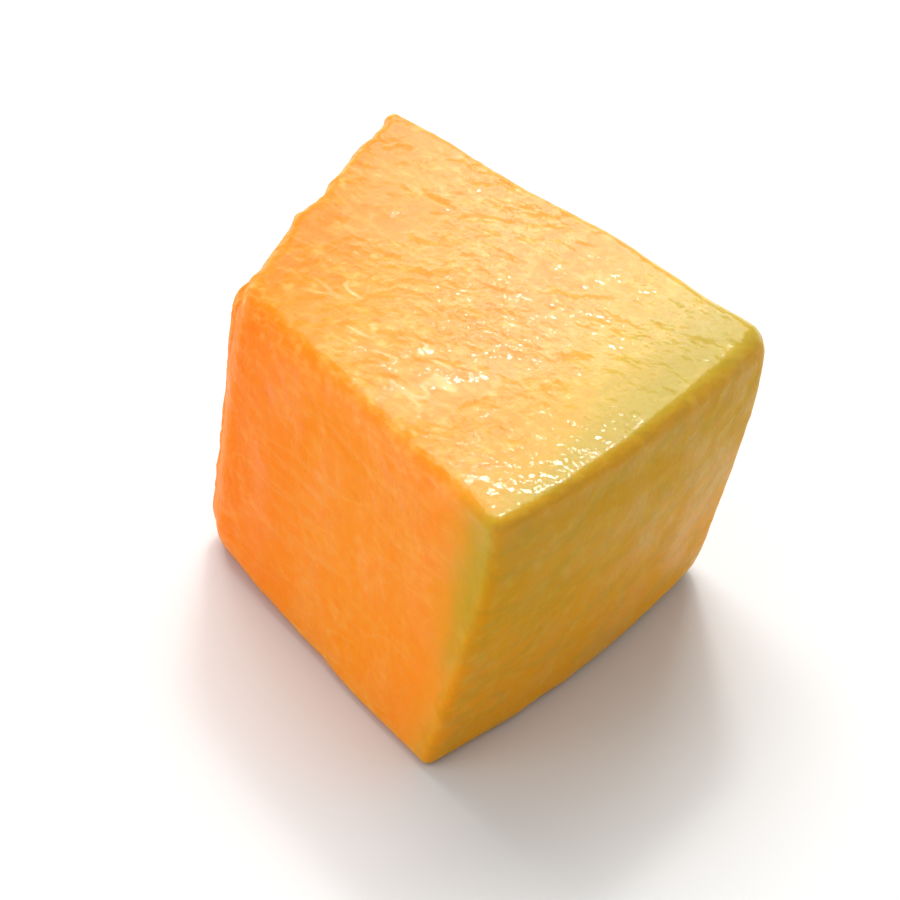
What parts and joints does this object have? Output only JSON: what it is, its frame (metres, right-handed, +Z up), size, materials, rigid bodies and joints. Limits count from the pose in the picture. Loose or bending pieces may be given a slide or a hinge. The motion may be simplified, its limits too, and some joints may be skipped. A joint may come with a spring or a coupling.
{
  "type": "muskmelon chunk",
  "caption": "Bite-size piece of peeled muskmelon flesh, a slightly skewed wedge with soft worn edges, lying on a flat knife cut.",
  "frame": {"origin": "middle of the piece's box, on the surface that the piece rests on", "axes": "+X from the side that faced the seeds to the peeled side, +Y from the front lengthwise cut to the back one, +Z up from the lower knife cut to the upper one"},
  "size_m": [0.0372, 0.0248, 0.019],
  "materials": {
    "melon_flesh": "satin"
  },
  "bodies": {
    "root": {"melon_chunk": "melon_flesh"}
  },
  "joints": []
}
